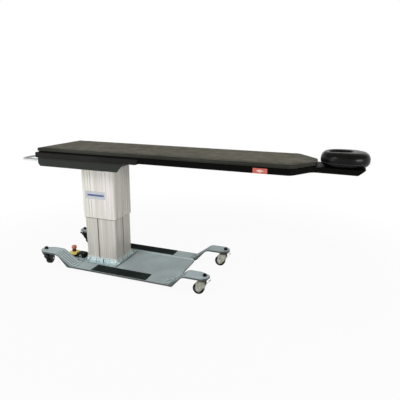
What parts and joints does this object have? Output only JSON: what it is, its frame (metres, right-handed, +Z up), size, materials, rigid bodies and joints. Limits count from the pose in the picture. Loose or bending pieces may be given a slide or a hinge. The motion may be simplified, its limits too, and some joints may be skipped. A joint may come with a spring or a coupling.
{
  "type": "radiography table",
  "caption": "Mobile imaging table: cantilevered carbon top with vinyl pad and face cushion on a two-stage lifting column and a low rolling base with swivel casters.",
  "frame": {"origin": "centre of the bounding box in plan, on the floor under the casters", "axes": "+X towards the head end, +Y towards the far long side, +Z up"},
  "size_m": [2.426, 0.604, 0.9833],
  "materials": {
    "pad_vinyl": "dark grey vinyl, satin with fine grain",
    "strip_tape": "hook-and-loop tape",
    "carbon_laminate": "clear-coated carbon-fibre laminate",
    "rail_coat": "satin black coating",
    "frame_steel": "black-grey coated steel tube",
    "cover_coat": "dark grey textured powder coat",
    "column_aluminium": "clear anodised extrusion",
    "plated_steel": "bright zinc-plated steel",
    "bolt_steel": "zinc-plated steel",
    "handle_chrome": "polished chrome plate",
    "base_coat": "silver-grey powder coat",
    "tread_rubber": "black ribbed rubber",
    "tyre_rubber": "dark grey wheel tread",
    "wheel_plastic": "light grey nylon",
    "black_plastic": "black moulded plastic",
    "glide_plastic": "white low-friction plastic",
    "housing_plastic": "dark moulded housing",
    "yellow_plastic": "yellow enclosure",
    "red_plastic": "red mushroom button",
    "seat_plastic": "dark red collar",
    "lead_rubber": "black cable jacket"
  },
  "bodies": {
    "base": {"base_pan": "base_coat", "tread_strips": "tread_rubber", "foot_plate": "plated_steel", "foot_bolts": "bolt_steel", "foot_collar": "plated_steel", "column_inner_stage": "column_aluminium", "upper_glides": "glide_plastic", "actuator_body": "housing_plastic", "caster_stems": "bolt_steel", "caster_races": "plated_steel", "caster_caps": "black_plastic", "estop_base": "black_plastic", "estop_cover": "yellow_plastic", "estop_seat": "seat_plastic", "junction_box": "black_plastic", "junction_lid": "housing_plastic", "cable_glands": "black_plastic", "estop_lead": "lead_rubber", "control_socket": "bolt_steel", "power_inlet": "black_plastic"},
    "table_top": {"mattress_pad": "pad_vinyl", "pad_strips": "strip_tape", "carbon_top": "carbon_laminate", "side_rail_near": "rail_coat", "side_rail_far": "rail_coat", "foot_crossbar": "rail_coat", "carrier_frame": "frame_steel", "motor_cover": "cover_coat", "cover_spacers": "bolt_steel", "cover_screws": "bolt_steel", "control_unit": "housing_plastic", "push_handle": "handle_chrome", "handle_sockets": "frame_steel", "column_outer_stage": "column_aluminium", "lower_glides": "glide_plastic", "column_top_plate": "frame_steel", "top_plate_bolts": "bolt_steel", "actuator_push_tube": "plated_steel"},
    "head_cushion": {"face_cushion": "pad_vinyl"},
    "stop_button": {"estop_button": "red_plastic"},
    "swivel_head_near": {"caster_fork_head_near": "plated_steel", "caster_axle_head_near": "bolt_steel"},
    "wheel_head_near": {"caster_hub_head_near": "wheel_plastic", "caster_tyre_head_near": "tyre_rubber"},
    "brake_head_near": {"caster_pedal_head_near": "plated_steel"},
    "swivel_head_far": {"caster_fork_head_far": "plated_steel", "caster_axle_head_far": "bolt_steel"},
    "wheel_head_far": {"caster_hub_head_far": "wheel_plastic", "caster_tyre_head_far": "tyre_rubber"},
    "brake_head_far": {"caster_pedal_head_far": "plated_steel"},
    "swivel_foot_near": {"caster_fork_foot_near": "plated_steel", "caster_axle_foot_near": "bolt_steel"},
    "wheel_foot_near": {"caster_hub_foot_near": "wheel_plastic", "caster_tyre_foot_near": "tyre_rubber"},
    "brake_foot_near": {"caster_pedal_foot_near": "black_plastic"},
    "swivel_foot_far": {"caster_fork_foot_far": "plated_steel", "caster_axle_foot_far": "bolt_steel"},
    "wheel_foot_far": {"caster_hub_foot_far": "wheel_plastic", "caster_tyre_foot_far": "tyre_rubber"},
    "brake_foot_far": {"caster_pedal_foot_far": "black_plastic"}
  },
  "joints": [
    {"name": "lift", "type": "slide", "parent": "base", "child": "table_top", "axis": [0, 0, 1], "range_m": [-0.27, 0.03]},
    {"name": "cushion_lift_off", "type": "slide", "parent": "table_top", "child": "head_cushion", "axis": [0, 0, 1], "range_m": [0, 0.12]},
    {"name": "stop_press", "type": "slide", "parent": "base", "child": "stop_button", "axis": [0, 0, 1], "range_m": [-0.005, 0], "stiffness_N_per_m": 3000, "springref_m": 0.002},
    {"name": "swivel_head_near", "type": "hinge", "parent": "base", "child": "swivel_head_near", "pos_m": [0.273, -0.2435, 0.1], "axis": [0, 0, 1], "continuous": true},
    {"name": "roll_head_near", "type": "hinge", "parent": "swivel_head_near", "child": "wheel_head_near", "pos_m": [0.231, -0.2435, 0.04], "axis": [0, 1, 0], "continuous": true},
    {"name": "brake_head_near", "type": "hinge", "parent": "swivel_head_near", "child": "brake_head_near", "pos_m": [0.278, -0.2435, 0.0677], "axis": [0, 1, 0], "range_deg": [0, 5]},
    {"name": "swivel_head_far", "type": "hinge", "parent": "base", "child": "swivel_head_far", "pos_m": [0.273, 0.2435, 0.1], "axis": [0, 0, 1], "continuous": true},
    {"name": "roll_head_far", "type": "hinge", "parent": "swivel_head_far", "child": "wheel_head_far", "pos_m": [0.231, 0.2435, 0.04], "axis": [0, 1, 0], "continuous": true},
    {"name": "brake_head_far", "type": "hinge", "parent": "swivel_head_far", "child": "brake_head_far", "pos_m": [0.278, 0.2435, 0.0677], "axis": [0, 1, 0], "range_deg": [0, 5]},
    {"name": "swivel_foot_near", "type": "hinge", "parent": "base", "child": "swivel_foot_near", "pos_m": [-1.027, -0.2435, 0.1], "axis": [0, 0, 1], "continuous": true},
    {"name": "roll_foot_near", "type": "hinge", "parent": "swivel_foot_near", "child": "wheel_foot_near", "pos_m": [-1.03429, -0.20214, 0.04], "axis": [0.9848, 0.1736, 0], "continuous": true},
    {"name": "brake_foot_near", "type": "hinge", "parent": "swivel_foot_near", "child": "brake_foot_near", "pos_m": [-1.02613, -0.24842, 0.0677], "axis": [0.9848, 0.1736, 0], "range_deg": [0, 5]},
    {"name": "swivel_foot_far", "type": "hinge", "parent": "base", "child": "swivel_foot_far", "pos_m": [-1.027, 0.2435, 0.1], "axis": [0, 0, 1], "continuous": true},
    {"name": "roll_foot_far", "type": "hinge", "parent": "swivel_foot_far", "child": "wheel_foot_far", "pos_m": [-0.99063, 0.2645, 0.04], "axis": [0.5, -0.866, 0], "continuous": true},
    {"name": "brake_foot_far", "type": "hinge", "parent": "swivel_foot_far", "child": "brake_foot_far", "pos_m": [-1.03133, 0.241, 0.0677], "axis": [0.5, -0.866, 0], "range_deg": [0, 5]}
  ]
}
